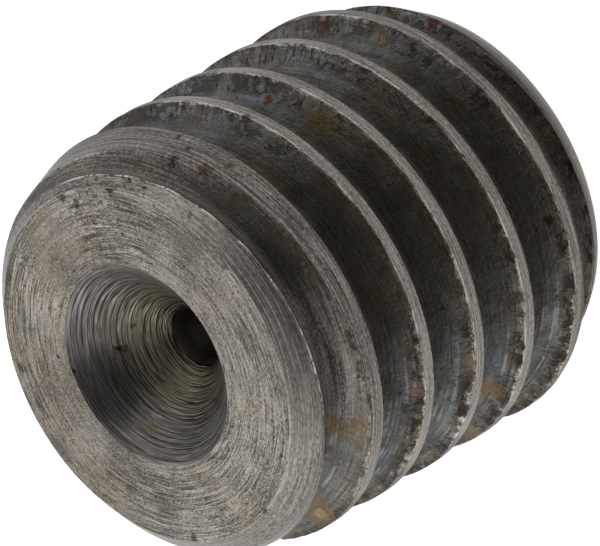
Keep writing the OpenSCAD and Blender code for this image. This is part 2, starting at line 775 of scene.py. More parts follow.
    def group(self, tree: bpy.types.NodeTree, **values: object) -> dict[str, Wire]:
        """Places a node group with its own values. Names have underscores for spaces.

        Args:
            tree: The group.
            values: What goes into each named input.

        Returns:
            Its outputs by name.
        """
        made = self.node("ShaderNodeGroup", node_tree=tree)
        for name, value in values.items():
            self.put(made.inputs[name.replace("_", " ")], value)
        return {socket.name: socket for socket in made.outputs}


@dataclass
class Effects:
    """The effects that several finishes share, each a shader node group that is built once."""

    groups: dict[str, bpy.types.NodeTree] = field(default_factory=dict)

    def __post_init__(self) -> None:
        """Builds every group."""
        for name in ("place", "grain", "pits", "cracks", "stain"):
            self.groups[name] = getattr(self, name)()

    def start(
        self, name: str, inputs: dict[str, object], outputs: dict[str, str]
    ) -> tuple[Graph, dict[str, Wire], dict[str, Wire]]:
        """Begins a group.

        Args:
            name: The group's name.
            inputs: Default of each input; a tuple of three makes a vector.
            outputs: Socket kind of each output.

        Returns:
            The graph, the inputs' sockets by name, and the outputs' sockets by name.
        """
        tree = bpy.data.node_groups.new(name, "ShaderNodeTree")
        for key, default in inputs.items():
            kind = "NodeSocketVector" if isinstance(default, tuple) else "NodeSocketFloat"
            tree.interface.new_socket(key, in_out="INPUT", socket_type=kind).default_value = default
        for key, kind in outputs.items():
            tree.interface.new_socket(key, in_out="OUTPUT", socket_type=kind)
        graph = Graph(tree)
        entry, leave = graph.node("NodeGroupInput"), graph.node("NodeGroupOutput")
        return (
            graph,
            {socket.name: socket for socket in entry.outputs if socket.name},
            {socket.name: socket for socket in leave.inputs if socket.name},
        )

    def place(self) -> bpy.types.NodeTree:
        """Where a point is: its place in millimetres, its radius, and its way on the lathe.

        The radius is the root of x squared plus y squared. The way is the radius or the height,
        with the direction from the axis times a mean radius, so that it too is about in
        millimetres.

        Returns:
            The group.
        """
        g, given, out = self.start(
            "place",
            {"Object": (0.0, 0.0, 0.0), "Along Axis": 0.0},
            {"Point": "NodeSocketVector", "Radius": "NodeSocketFloat", "Way": "NodeSocketVector"},
        )
        mean_radius = 2.3
        point = g.combine("SCALE", given["Object"], scale=1.0 / MM).outputs[0]
        flat = g.combine("MULTIPLY", point, (1.0, 1.0, 0.0)).outputs[0]
        radius = g.combine("LENGTH", flat).outputs["Value"]
        outwards = g.combine("NORMALIZE", flat).outputs[0]
        x, y, _ = g.parts(g.combine("SCALE", outwards, scale=mean_radius).outputs[0])
        height = g.parts(point)[2]
        across = g.scaled(given["Along Axis"], g.math("SUBTRACT", height, radius), radius)
        g.put(out["Point"], point)
        g.put(out["Radius"], radius)
        g.put(out["Way"], g.vector(across, x, y))
        return g.tree

    def grain(self) -> bpy.types.NodeTree:
        """Lines of the tool or of the roller: noise that is fine across the way and long along it.

        Each size of line is noise at (across times fineness, along over length), and each coarser
        size is also longer. All three come out from 0 to 1.

        Returns:
            The group.
        """
        g, given, out = self.start(
            "grain",
            {"Way": (0.0, 0.0, 0.0), "Fineness": 40.0, "Length": 1.0, "Seed": 0.0},
            {"Fine": "NodeSocketFloat", "Wide": "NodeSocketFloat", "Broad": "NodeSocketFloat"},
        )
        across, along, second = g.parts(given["Way"])
        for name, times, reach in (("Fine", 1.0, 1.0), ("Wide", 0.42, 1.7), ("Broad", 0.12, 2.6)):
            length = g.product(given["Length"], reach)
            place = g.vector(
                g.scaled(across, g.product(given["Fineness"], times), given["Seed"]),
                g.math("DIVIDE", along, length),
                g.math("DIVIDE", second, length),
            )
            g.put(out[name], g.clouds(place, 0.34, 0.66, rough=0.55))
        return g.tree

    def pits(self) -> bpy.types.NodeTree:
        """Scattered pits and specks: points of a cell pattern, kept only where a cloud allows it.

        Returns:
            The group.
        """
        g, given, out = self.start(
            "pits",
            {"Point": (0.0, 0.0, 0.0), "Scale": 12.0, "Size": 0.22, "Spread": 0.55},
            {"Mask": "NodeSocketFloat"},
        )
        near = g.cells(given["Point"], given["Scale"])
        wobble = g.noise(given["Point"], g.product(given["Scale"], 2.5))
        spot = g.ramp(g.scaled(wobble, 0.3, near), given["Size"], g.total(given["Size"], 0.14), 1.0, 0.0)
        g.put(out["Mask"], g.product(spot, self.allowed(g, given, 0.31)))
        return g.tree

    def cracks(self) -> bpy.types.NodeTree:
        """Fine crooked cracks: the thin lines along which a noise is just at its middle value.

        Returns:
            The group.
        """
        g, given, out = self.start(
            "cracks",
            {"Point": (0.0, 0.0, 0.0), "Scale": 8.0, "Width": 0.02, "Spread": 0.5},
            {"Mask": "NodeSocketFloat"},
        )
        value = g.noise(given["Point"], given["Scale"], 3.0, 0.6, 0.4)
        line = g.ramp(g.math("ABSOLUTE", g.total(value, -0.5)), 0.0, given["Width"], 1.0, 0.0)
        g.put(out["Mask"], g.product(line, self.allowed(g, given, 0.25)))
        return g.tree

    def allowed(self, g: Graph, given: dict[str, Wire], coarser: float) -> Wire:
        """Where a scattered effect shows: in the clouds of a noise coarser than itself.

        Args:
            g: The group's graph.
            given: The group's inputs, with its Point, Scale and Spread.
            coarser: The clouds' scale, as a share of the effect's.

        Returns:
            The clouds, from 0 to 1.
        """
        cloud = g.noise(given["Point"], g.product(given["Scale"], coarser))
        return g.ramp(cloud, given["Spread"], g.total(given["Spread"], 0.06))

    def stain(self) -> bpy.types.NodeTree:
        """One stain: a ball round its centre, with an edge that the given noise makes ragged.

        Returns:
            The group.
        """
        g, given, out = self.start(
            "stain",
            {"Point": (0.0, 0.0, 0.0), "Centre": (0.0, 0.0, 0.0), "Size": 0.2, "Edge": 0.5, "Ragged": 0.9},
            {"Mask": "NodeSocketFloat"},
        )
        away = g.combine("DISTANCE", given["Point"], given["Centre"]).outputs["Value"]
        torn = g.product(g.total(given["Edge"], -0.5), given["Ragged"])
        reach = g.total(g.math("DIVIDE", away, given["Size"]), torn)
        g.put(out["Mask"], g.ramp(reach, 0.35, 1.0, 1.0, 0.0))
        return g.tree


@dataclass(frozen=True)
class Stain:
    """A stain or spot at a place on the skin, in millimetres."""

    centre: Point
    size: float
    colour: Colour
    strength: float = 0.8
    ragged: float = 3.2


@dataclass(frozen=True)
class Marks:
    """The rust, soot, tan and olive marks on each zone, and two patches of painted shade in the cup, in the
    order in which they are laid.
    """

    rust: Colour = tint(64, 40, 28)
    soot: Colour = tint(38, 32, 28)
    tan: Colour = tint(116, 98, 74)
    scab: Colour = tint(84, 54, 38)
    olive: Colour = tint(134, 134, 104)

    def face(self) -> tuple[Stain, ...]:
        """Marks on the flat face round the cup.

        Returns:
            The marks.
        """
        return (
            Stain((2.2, -1.14, 6.1), 0.09, self.rust, 0.9),
            Stain((2.31, -0.45, 6.1), 0.06, self.rust),
            Stain((0.52, -2.52, 6.05), 0.07, tint(78, 42, 28), 0.9),
            Stain((0.68, 1.45, 6.1), 0.035, self.soot, 0.9, 0.6),
            Stain((0.8, 2.2, 6.1), 0.09, self.rust),
            Stain((-2.25, 0.91, 6.1), 0.09, self.rust),
            Stain((-2.45, -0.62, 6.1), 0.1, self.rust),
            Stain((-1.88, -1.45, 6.1), 0.035, self.rust, 0.9, 0.6),
            Stain((1.9, 0.35, 6.1), 0.75, tint(136, 126, 110), 0.4),
            Stain((1.1, -1.9, 6.1), 0.4, tint(112, 112, 110), 0.5),
            Stain((2.42, -0.24, 6.1), 0.09, self.rust),
            Stain((2.23, -0.42, 6.1), 0.06, self.soot),
            Stain((1.93, -0.55, 6.1), 0.05, self.rust),
            Stain((1.62, -0.92, 6.1), 0.04, self.rust),
            Stain((0.6, -2.35, 6.1), 0.08, self.soot, 0.6),
        )

    def cup(self) -> tuple[Stain, ...]:
        """Marks in the cup, of which the last two are painted shade: soft dark patches on the cone's walls
        towards +y and -x.

        Returns:
            The marks.
        """
        return (
            Stain((0.36, 0.84, 5.62), 0.1, tint(58, 30, 28), 0.9),
            Stain((0.42, 1.33, 6.09), 0.05, self.soot, 0.9),
            Stain((-0.73, 0.87, 5.84), 0.12, tint(112, 104, 78)),
            Stain((0.54, 0.56, 5.47), 0.06, self.rust),
            # Painted shade: two soft dark patches on the cone's walls that face away from the lamp.
            Stain((0.0, 1.2, 5.9), 0.75, tint(36, 35, 36), 0.6, 0.5),
            Stain((-1.06, 0.28, 5.8), 0.5, tint(40, 38, 38), 0.3, 0.5),
        )

    def thread(self) -> tuple[Stain, ...]:
        """Marks on the threaded outside and on its chamfer.

        Returns:
            The marks.
        """
        return (
            Stain((-1.92, -1.73, 5.29), 0.2, tint(104, 82, 54), 0.7),
            Stain((-2.04, -1.96, 5.15), 0.17, tint(104, 84, 58), 0.75),
            Stain((-2.25, -1.7, 5.12), 0.14, self.tan, 0.6),
            Stain((-2.49, -1.01, 2.13), 0.26, tint(116, 90, 58), 0.65),
            Stain((-2.05, -2.04, 4.06), 0.16, tint(118, 96, 84), 0.6),
            Stain((-1.42, -2.39, 4.17), 0.14, tint(108, 105, 84), 0.6),
            Stain((-2.6, -1.08, 3.05), 0.22, tint(120, 122, 104), 0.5),
            Stain((-2.75, -0.29, 5.05), 0.4, tint(112, 92, 62), 0.75),
            Stain((-2.81, -0.24, 5.02), 0.13, tint(152, 140, 112), 0.7),
            Stain((-2.1, -1.93, 5.13), 0.08, tint(136, 120, 94), 0.7),
            Stain((-2.95, -0.02, 1.9), 0.3, tint(116, 92, 64), 0.6),
            Stain((2.63, -1.02, 1.42), 0.16, tint(70, 46, 34)),
            Stain((2.17, -1.83, 1.35), 0.22, self.tan, 0.55),
            Stain((1.98, -1.83, 0.42), 0.14, self.scab),
            Stain((0.93, -2.42, 1.42), 0.22, tint(96, 66, 48), 0.4),
            Stain((0.3, -2.62, 0.36), 0.1, self.scab),
            Stain((0.56, -2.51, 2.4), 0.2, tint(98, 74, 48), 0.5),
            Stain((-0.98, -2.65, 1.17), 0.1, self.soot),
            Stain((1.6, -2.3, 3.36), 0.34, tint(118, 104, 76), 0.55),
            Stain((2.18, -1.65, 3.43), 0.09, tint(92, 58, 34), 0.9),
            Stain((1.69, -2.4, 5.2), 0.07, self.rust),
            Stain((0.12, -2.83, 5.32), 0.045, self.olive, 0.8, 0.8),
            Stain((0.02, -2.83, 5.34), 0.045, self.olive, 0.8, 0.8),
            Stain((1.34, -2.17, 5.65), 0.22, tint(76, 62, 50), 0.5),
            Stain((2.17, -1.42, 5.98), 0.05, self.soot),
            Stain((1.99, -1.64, 6.0), 0.05, self.rust),
            Stain((1.39, -2.16, 6.0), 0.05, self.soot),
            Stain((2.12, -1.86, 5.53), 0.1, self.soot),
            Stain((1.81, -2.23, 5.43), 0.14, self.rust, 0.7),
            Stain((2.35, -1.79, 5.18), 0.06, self.soot),
            Stain((2.15, -1.97, 5.29), 0.06, self.soot),
            Stain((1.59, -2.26, 3.38), 0.2, tint(96, 70, 44), 0.6),
            Stain((2.14, -2.09, 4.26), 0.08, tint(70, 46, 34)),
        )


@dataclass
class Dressing:
    """A material in the making: its graph and shader, the shared effects, the place on the skin."""

    graph: Graph
    shader: bpy.types.Node
    groups: dict[str, bpy.types.NodeTree]
    point: Wire
    way: Wire
    radius: Wire

    @cached_property
    def axes(self) -> tuple[Wire, ...]:
        """The place's three values, in millimetres."""
        return self.graph.parts(self.point)

    def grain(self, way: Wire, fineness: float, length: float, seed: float = 0.0) -> dict[str, Wire]:
        """Lays lines of the tool along a way.

        Args:
            way: The way.
            fineness: Lines to a millimetre.
            length: How long a line is.
            seed: Which lines.

        Returns:
            The fine, wide and broad lines, each from 0 to 1.
        """
        return self.graph.group(self.groups["grain"], Way=way, Fineness=fineness, Length=length, Seed=seed)

    def pits(self, place: Wire, scale: float, size: float, spread: float) -> Wire:
        """Scatters pits.

        Args:
            place: Where the pattern is read.
            scale: Points to a millimetre.
            size: Radius of a pit as a share of a cell.
            spread: How much is left bare.

        Returns:
            The pits' mask.
        """
        made = self.graph.group(self.groups["pits"], Point=place, Scale=scale, Size=size, Spread=spread)
        return made["Mask"]

    def cracks(self, place: Wire, scale: float, width: Value, spread: Value) -> Wire:
        """Scatters cracks.

        Args:
            place: Where the pattern is read.
            scale: How fine the pattern is.
            width: How wide a crack is, in the pattern's noise.
            spread: How much is left bare.

        Returns:
            The cracks' mask.
        """
        made = self.graph.group(self.groups["cracks"], Point=place, Scale=scale, Width=width, Spread=spread)
        return made["Mask"]

    def stain(self, centre: Point, size: float, edge: Wire, ragged: float) -> Wire:
        """Lays one stain.

        Args:
            centre: Its middle.
            size: Its radius.
            edge: The noise that tears its edge.
            ragged: How strongly.

        Returns:
            The stain's mask.
        """
        made = self.graph.group(
            self.groups["stain"], Point=self.point, Centre=centre, Size=size, Edge=edge, Ragged=ragged
        )
        return made["Mask"]


@dataclass(frozen=True)
class Steel:
    """One steel finish: its colours, its gloss and how strongly its lines stand out."""

    name: str
    colour: Colour
    dark: Colour
    rust: Colour = tint(62, 44, 33)
    rust_share: float = 0.75
    roughness: float = 0.4
    depth: float = 0.01
    stains: tuple[Stain, ...] = ()

    def begin(self, effects: Effects, along_axis: float = 0.0) -> Dressing:
        """Starts the material: a metallic shader and the place on the skin.

        Args:
            effects: The shared groups.
            along_axis: 0 where the surface faces along the axis, 1 where it faces away from it.

        Returns:
            The material in the making.
        """
        material = bpy.data.materials.new(self.name)
        material.use_nodes = True
        g = Graph(material.node_tree)
        shader = material.node_tree.nodes["Principled BSDF"]
        shader.inputs["Metallic"].default_value = 1.0
        shader.inputs["Roughness"].default_value = self.roughness
        coordinates = g.node("ShaderNodeTexCoord").outputs["Object"]
        at = g.group(effects.groups["place"], Object=coordinates, Along_Axis=along_axis)
        return Dressing(g, shader, effects.groups, at["Point"], at["Way"], at["Radius"])

    def finish(self, at: Dressing, way: Wire, colour: Wire, height: Wire) -> bpy.types.Material:
        """Lays the finish's stains over its colour, and turns a height into the normal.

        Args:
            at: The material in the making.
            way: The way of the tool, along which the stains are drawn out.
            colour: The colour so far.
            height: Relief from 0 to 1.

        Returns:
            The finished material.
        """
        g = at.graph
        edge = g.noise(g.stretched(way, 24.0, 9.0), 1.0, 4.0, 0.75)
        for stain in self.stains:
            mask = at.stain(stain.centre, stain.size, edge, stain.ragged)
            colour = g.mix(g.product(mask, stain.strength), colour, stain.colour)
        g.put(at.shader.inputs["Base Color"], colour)
        bump = g.node("ShaderNodeBump")
        bump.inputs["Strength"].default_value = 1.0
        bump.inputs["Distance"].default_value = self.depth * MM
        g.put(bump.inputs["Height"], height)
        g.put(at.shader.inputs["Normal"], bump.outputs[0])
        return bpy.data.materials[self.name]


@dataclass(frozen=True)
class TurnedFace(Steel):
    """A flat turned end: bare steel with fine lines, tiny pits, darker patches, and a painted highlight on
    part of its rim.
    """

    rim: float = 2.475
    busy: Point = (1.8, -0.5, 6.1)
    busy_reach: float = 1.1
    warmth: Colour = tint(250, 236, 214)
    # glint: the colour of the painted highlight on the rim.
    glint: Colour = tint(214, 210, 202)

    def material(self, effects: Effects) -> bpy.types.Material:
        """Builds the material. Ticks of rust crowd round one busy place.

        Args:
            effects: The shared groups.

        Returns:
            The finished material.
        """
        at = self.begin(effects)
        g, point, way, radius = at.graph, at.point, at.way, at.radius
        lines = at.grain(way, fineness=62.0, length=0.5)
        short = at.grain(way, fineness=84.0, length=0.045, seed=31.0)
        cloud = g.clouds(point, 0.35, 0.65, 1.2, 4.0, 0.62)
        bite = g.ramp(g.noise(point, 1.0, 3.0, 0.6), 0.36, 0.6, 0.3, 1.0)
        light = g.scaled(g.ramp(lines["Fine"], 0.72, 1.0), 0.42)
        thin = g.scaled(g.ramp(lines["Fine"], 0.3, 0.0), -0.5, light)
        tone = g.product(bite, g.scaled(lines["Wide"], 0.2, g.total(thin, -0.1)))
        tone = g.total(tone, g.scaled(short["Fine"], 0.62, g.scaled(cloud, 0.34)))
        colour = g.mix(tone, self.dark, self.colour)
        warm = g.clouds(point, 0.42, 0.62, 0.8, 3.0, 0.6, most=0.4)
        colour = g.mix(warm, colour, g.mix(1.0, colour, self.warmth, "MULTIPLY"))

        edge = g.product(
            g.ramp(radius, self.rim - 0.2, self.rim - 0.02), g.ramp(lines["Fine"], 0.3, 0.8, 0.28, 0.0)
        )
        colour = g.mix(edge, colour, self.dark)
        # Painted highlight: a broken bright line on the rim's bevel, only towards -x and -y, where the
        # light would catch it.
        lit = g.ramp(g.combine("DOT_PRODUCT", way, (0.0, 0.26, 0.35)).outputs["Value"], 0.2, -0.3)
        corner = g.ramp(radius, self.rim - 0.014, self.rim - 0.004)
        bright = g.product(corner, g.ramp(lines["Broad"], 0.15, 0.6, 0.2, 0.8), lit, 0.5)
        colour = g.mix(bright, colour, self.glint)

        along = g.stretched(way, 1.0, 0.5)
        busy = at.stain(self.busy, self.busy_reach, cloud, 0.5)
        ticks = at.cracks(along, 9.0, g.scaled(busy, 0.012, 0.02), g.scaled(busy, -0.08, 0.49))
        pits = g.most(
            at.pits(along, 14.0, size=0.24, spread=0.45),
            at.pits(point, 6.0, size=0.14, spread=0.5),
            g.product(ticks, 0.8),
        )
        colour = g.mix(g.product(pits, self.rust_share), colour, self.rust)
        g.put(at.shader.inputs["Roughness"], g.scaled(lines["Wide"], -0.12, self.roughness + 0.05))
        height = g.scaled(lines["Fine"], 0.5, g.scaled(short["Fine"], 0.6, g.product(pits, -1.2)))
        return self.finish(at, way, colour, height)


@dataclass(frozen=True)
class TurnedCup(Steel):
    """The cup: crisp rings, grey towards its mouth and olive towards the hole."""

    olive: Colour = tint(138, 132, 112)
    bore: Colour = tint(205, 200, 186)
    bore_r: float = 0.4
    rings_per_mm: float = 19.0
    rust_share: float = 0.7

    def material(self, effects: Effects) -> bpy.types.Material:
        """Builds the material. The rings are the tool's feed, wandering with a slow noise.

        Args:
            effects: The shared groups.

        Returns:
            The finished material.
        """
        at = self.begin(effects)
        g, point, way, radius = at.graph, at.point, at.way, at.radius
        rings = at.grain(way, fineness=44.0, length=2.2, seed=12.0)
        broken = at.grain(way, fineness=60.0, length=0.6, seed=50.0)["Fine"]
        inner = g.ramp(g.scaled(g.noise(point, 1.6, 3.0), 0.5, radius), 0.95, 1.45, 1.0, 0.0)
        wander = g.scaled(g.noise(point, 1.5), 0.8)
        feed = g.math("FRACT", g.scaled(radius, self.rings_per_mm, wander))
        feed = g.ramp(g.math("ABSOLUTE", g.total(feed, -0.5)), 0.34, 0.48, 1.0, 0.0)
        cut = g.mix(g.ramp(rings["Broad"], 0.2, 0.8, 0.2, 0.75), g.ramp(rings["Wide"], 0.2, 0.6), feed)
        tone = g.total(g.scaled(cut, 0.42, g.scaled(rings["Fine"], 0.3)), g.scaled(broken, 0.3))
        colour = g.mix(tone, self.dark, g.mix(inner, self.colour, self.olive))
        hairs = g.product(g.ramp(broken, 0.8, 1.0), g.ramp(radius, 0.7, 1.1, 0.05, 0.2))
        colour = g.mix(hairs, colour, self.bore)
        specks = at.pits(point, 9.0, size=0.1, spread=0.5)
        colour = g.mix(g.product(specks, self.rust_share), colour, self.rust)
        colour = g.mix(g.ramp(radius, self.bore_r - 0.01, self.bore_r + 0.01), self.bore, colour)
        g.put(at.shader.inputs["Roughness"], g.scaled(rings["Broad"], 0.1, self.roughness - 0.05))
        height = g.scaled(cut, 0.7, g.scaled(rings["Fine"], 0.4, g.scaled(specks, -0.8)))
        return self.finish(at, way, colour, height)


@dataclass(frozen=True)
class ThreadSteel(Steel):
    """The threaded outside: bright streaked lands and chamfer over a dark oxidised groove.

    Heights are on the screw's axis, and x and y pick out the sides that are worn most and the sides on
    which light and shade are painted into the colour, with -y facing the camera. Each pair of heights is
    where something fades in or out: below the wide first crest and its run-in, and at the chamfer's outer
    edge.
    """

    oxide: Colour = tint(92, 90, 83)
    brown: Colour = tint(104, 90, 68)
    blue: Colour = tint(103, 106, 108)
    soot: Colour = tint(36, 33, 30)
    crust: Colour = tint(46, 38, 31)
    fleck: Colour = tint(112, 96, 72)
    # glint: the colour of the painted highlights, and of the light streak lines in the groove.
    glint: Colour = tint(222, 218, 210)
    chamfer_z: float = 5.82
    run_in: tuple[float, float] = (4.75, 4.95)
    below_first: tuple[float, float] = (4.9, 5.1)
    chamfer_edge: tuple[float, float] = (5.6, 5.7)
    turn_length: float = 18.0
    rust_share: float = 0.65
    crust_share: float = 0.85
    groove_roughness: float = 0.46
    land_roughness: float = 0.36

    def helix(self, at: Dressing) -> tuple[Wire, ...]:
        """The way along the thread for the flanks and for the lands, in millimetres.

        The way is the map's offset and its turn times the length of a turn. On the end's chamfer,
        which is turned, both are the lathe's way.

        Args:
            at: The material in the making.

        Returns:
            The way along the groove, and the way along the crest.
        """
        g = at.graph
        turn, offset, _ = g.parts(g.node("ShaderNodeUVMap", uv_map="lathe_map").outputs[0])
        turned = g.math("GREATER_THAN", at.axes[2], self.chamfer_z)
        upper = g.math("GREATER_THAN", offset, 0.0)
        ways = []
        for shift in (0.0, upper):
            across = g.math("SUBTRACT", offset, shift)
            along = g.product(g.math("SUBTRACT", turn, shift), self.turn_length)
            ways.append(g.mix(turned, g.vector(across, along), at.way))
        return tuple(ways)

    def groove(self, at: Dressing, way: Wire, sunk: Wire) -> tuple[Wire, Wire]:
        """The groove's colour: grey oxide with brown and bluish patches and lengthwise streaks.

        Round the screw the brightness is painted by side as light and shade: lighter for x from about 0.8
        to 2.1, darker past x 2.75 and past x -2.2. Towards both sides the patches and the streaks stand out
        more, as where lit. The root is darker, its soot with painted shade over it, stronger towards -x.

        Args:
            at: The material in the making.
            way: The way along the groove.
            sunk: Depth below the blank.

        Returns:
            The colour, and the relief from 0 to 1.
        """
        g, (x, _, z) = at.graph, at.axes
        # left and right pick out the sides on which the flanks are painted as lit: patches and streaks
        # stand out more there.
        left, right = g.ramp(x, -0.6, -2.3), g.product(g.ramp(x, 1.2, 2.4), g.ramp(z, 5.35, 5.0))
        side = g.scaled(right, 0.35, left)
        edge = g.product(g.ramp(sunk, 0.22, 0.03), g.ramp(x, 1.5, 0.2, 0.1, 1.0))
        drawn = g.stretched(way, 4.2, 1.1)
        rusty = g.most(g.clouds(drawn, 0.46, 0.6, 1.0, 5.0, 0.62), edge)
        colour = g.mix(g.product(rusty, g.scaled(edge, 0.45, 0.35)), self.oxide, self.brown)
        elsewhere = g.combine("ADD", drawn, (7.0, 3.0, 5.0)).outputs[0]
        bluish = g.clouds(elsewhere, 0.46, 0.6, 1.0, 4.0, 0.6)
        share = g.most(g.product(g.most(left, right), g.scaled(bluish, 0.7, 0.28)), g.product(bluish, 0.14))
        colour = g.mix(g.product(share, g.scaled(edge, -0.7, 1.0)), colour, self.blue)

        streaks = at.grain(way, fineness=46.0, length=1.7, seed=9.0)
        broken = g.clouds(g.stretched(way, 9.0, 3.0), 0.4, 0.6, 1.0, 3.0, 0.6)
        grit = g.clouds(at.point, 0.35, 0.65, 21.0, 3.0, 0.7)
        patches = g.clouds(at.point, 0.35, 0.65, 2.6, 5.0, 0.7)
        lines = g.product(broken, g.scaled(streaks["Fine"], 1.3, streaks["Wide"]))
        shade = g.total(
            g.product(g.scaled(side, 0.26, 0.06), g.total(lines, 0.4)),
            g.scaled(grit, 0.14, g.scaled(patches, 0.32, g.scaled(side, -0.19, 0.67))),
        )
        # Painted light and shade by side: lighter for x from 0.8 to 2.1, darker towards the outline past x
        # 2.75 and past x -2.2.
        shade = g.product(
            shade,
            g.ramp(x, 0.8, 1.7, 1.0, 1.24),
            g.ramp(x, 2.1, 2.75, 1.0, 0.76),
            g.ramp(x, -1.6, -2.2, 1.0, 0.9),
        )
        colour = g.mix(1.0, colour, g.vector(shade, shade, shade), "MULTIPLY")
        dark_line = g.product(g.ramp(streaks["Fine"], 0.14, 0.0), g.scaled(side, 0.5, 0.03), broken)
        colour = g.mix(dark_line, colour, self.soot)
        light_line = g.product(g.ramp(streaks["Fine"], 0.9, 1.0), broken, g.scaled(side, 0.14, 0.03))
        colour = g.mix(light_line, colour, self.glint)

        # The root: soot with painted shade over it, stronger towards -x. Under the wide first crest it is
        # darkened as shade too.
        under_crest = g.product(g.ramp(g.parts(way)[0], -0.13, -0.03), g.ramp(z, *self.run_in))
        root = g.product(g.most(g.ramp(sunk, 0.4, 0.56), under_crest), g.ramp(x, 1.8, -0.4, 0.1, 0.65))
        relief = g.scaled(streaks["Fine"], 0.14, g.scaled(grit, 0.14, g.scaled(patches, 0.5)))
        return g.mix(root, colour, self.soot), relief

    def land_tone(self, at: Dressing, way: Wire) -> tuple[Wire, Wire]:
        """How light the bare steel is on the lands and on both chamfers.

        The lands have long lines. They are painted lighter towards -x as lit, are darker on the first
        crest, and are painted darker at the outline, past |x| 2.8, as shade. The cup end's chamfer is
        grainier, darker along its outer edge and lighter along its inner one. It is painted lighter towards
        -y, which faces the camera, and towards -x as lit, and darker towards both sides as shade. The far
        chamfer is dark next to the groove and light at its rim, a painted reflection of the floor.

        Args:
            at: The material in the making.
            way: The way along the crest.

        Returns:
            The tone from 0 to 1, and the wide lines in it.
        """
        g, (x, y, z) = at.graph, at.axes
        lines = at.grain(way, fineness=68.0, length=0.9)
        fine, wide = lines["Fine"], lines["Wide"]
        short = at.grain(way, fineness=60.0, length=0.06, seed=17.0)["Fine"]
        aside = g.math("ABSOLUTE", x)
        tone = g.scaled(fine, 0.46, g.scaled(wide, 0.22, g.scaled(short, 0.38, -0.15)))
        # Painted light: the lands lighter towards -x. The first crest is darker.
        tone = g.total(tone, g.scaled(g.ramp(x, -1.0, -2.4), 0.2, g.ramp(z, 4.7, 5.0, 0.0, -0.2)))

        # calm and level paint the chamfer's light and shade by side: lighter towards -y, which faces the
        # camera, and towards -x, and darker towards both sides past |x| 1.9.
        calm = g.ramp(x, 0.6, -0.2, 0.6, 0.4)
        outer = g.product(g.ramp(z, 5.92, 5.86), g.ramp(aside, 2.0, 1.5))
        inner = g.product(g.ramp(z, 5.87, 5.93), g.ramp(x, 0.1, 0.8), g.ramp(x, 2.2, 1.6))
        level = g.total(
            g.ramp(y, -1.9, -2.4, 0.0, 0.2),
            g.ramp(aside, 1.9, 2.3, 0.0, -0.14),
            g.scaled(calm, -0.6, 0.6),
            g.scaled(outer, -0.22, g.scaled(inner, 0.26)),
        )
        grainy = g.scaled(fine, 0.34, g.scaled(wide, 0.24, g.scaled(short, 0.9, -0.36)))
        # Painted light: the chamfer's grain lighter towards -x.
        grainy = g.total(grainy, g.ramp(x, -1.0, -2.4, -0.2, 0.0))
        on_chamfer = g.ramp(z, self.chamfer_z - 0.005, self.chamfer_z + 0.005)
        tone = g.mix(on_chamfer, tone, g.scaled(grainy, calm, level))

        # The far chamfer: a painted reflection of the floor at its rim, darker next to the groove and
        # towards -x.
        far = g.total(g.ramp(z, 0.3, 0.08, -0.75, 0.35), g.ramp(x, -0.9, -1.6, 0.0, -0.2))
        far = g.product(far, g.ramp(z, 0.95, 0.8), g.ramp(x, 2.5, 1.9))
        kept = g.math("SUBTRACT", 1.0, g.math("MULTIPLY", far, -1.0, clamp=True))
        tone = g.scaled(tone, kept, g.math("MULTIPLY", far, 1.0, clamp=True))
        # Painted shade where the surface turns away at the outline, past |x| 2.8.
        return g.total(tone, g.ramp(aside, 2.8, 2.96, 0.0, -0.8)), wide

    def worn(self, at: Dressing) -> Wire:
        """How worn the crest edges are: most on the -X side, least in the middle of the front.

        Args:
            at: The material in the making.

        Returns:
            The wear from 0 to 1.
        """
        g, (x, y, z) = at.graph, at.axes
        return g.most(
            g.ramp(y, -2.7, -1.2, 0.1, 0.5),
            g.ramp(x, 0.2, -1.6),
            g.ramp(z, 2.8, 1.6, 0.0, 0.7),
            g.ramp(x, 0.8, 1.6, 0.0, 0.8),
        )

    def rubbed(self, at: Dressing, way: Wire, sunk: Wire) -> tuple[Wire, Wire]:
        """Where the flank of the wide first crest is rubbed bare in streaks.

        Args:
            at: The material in the making.
            way: The way along the groove.
            sunk: Depth below the blank.

        Returns:
            The share of bare steel, and how much lighter than a land's it is.
        """
        g, (x, _, z) = at.graph, at.axes
        streaks = g.clouds(g.stretched(way, 16.0, 0.9), 0.26, 0.48, 1.0, 4.0, 0.6)
        low_side = g.product(g.ramp(x, 0.4, -0.7), g.ramp(x, -1.3, -2.2, 1.0, 0.3))
        where = g.most(low_side, g.ramp(x, 1.3, 1.8, 0.0, 0.75))
        share = g.product(streaks, g.ramp(z, *self.run_in), g.ramp(sunk, 0.45, 0.24), where)
        lift = g.product(g.ramp(x, 0.2, -0.8), g.ramp(x, -1.5, -2.2, 0.42, 0.0), g.ramp(sunk, 0.28, 0.14))
        return share, lift

